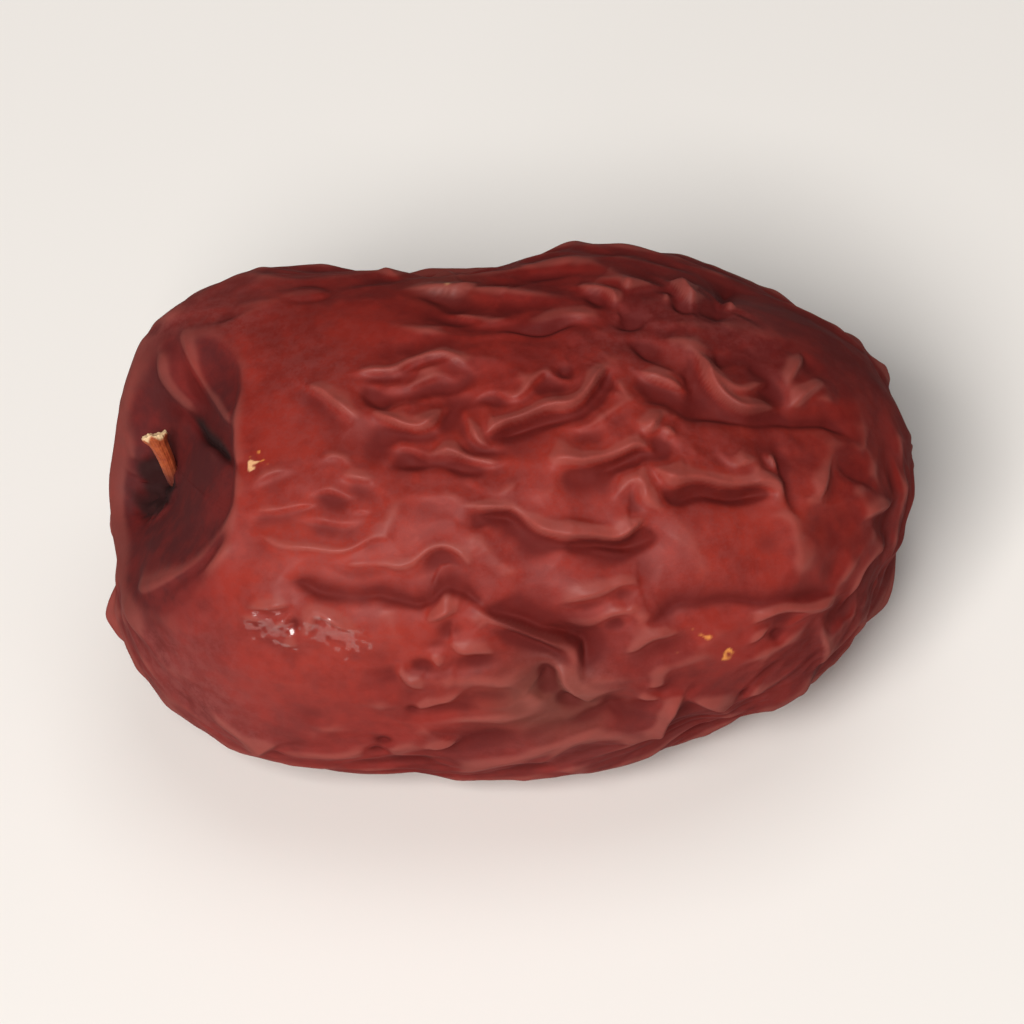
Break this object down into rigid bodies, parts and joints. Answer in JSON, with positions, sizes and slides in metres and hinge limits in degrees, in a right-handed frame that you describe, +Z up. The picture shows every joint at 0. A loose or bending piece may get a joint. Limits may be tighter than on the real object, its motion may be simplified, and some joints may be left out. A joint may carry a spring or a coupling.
{
  "type": "dried jujube",
  "caption": "Wrinkled dried jujube fruit lying on its side, with a sunken stalk pit and a short torn stalk stub.",
  "frame": {"origin": "on the surface the fruit rests on, under the middle of its box", "axes": "+X along the fruit from the stalk end to the blossom end, +Z up, -Y towards the side the picture shows best"},
  "size_m": [0.0454, 0.0306, 0.0269],
  "materials": {
    "skin": "dried wrinkled skin, dark red, semi-gloss",
    "stalk": "dry fibrous stalk, orange brown with a pale torn end"
  },
  "bodies": {
    "root": {"fruit": "skin", "stalk": "stalk"}
  },
  "joints": []
}
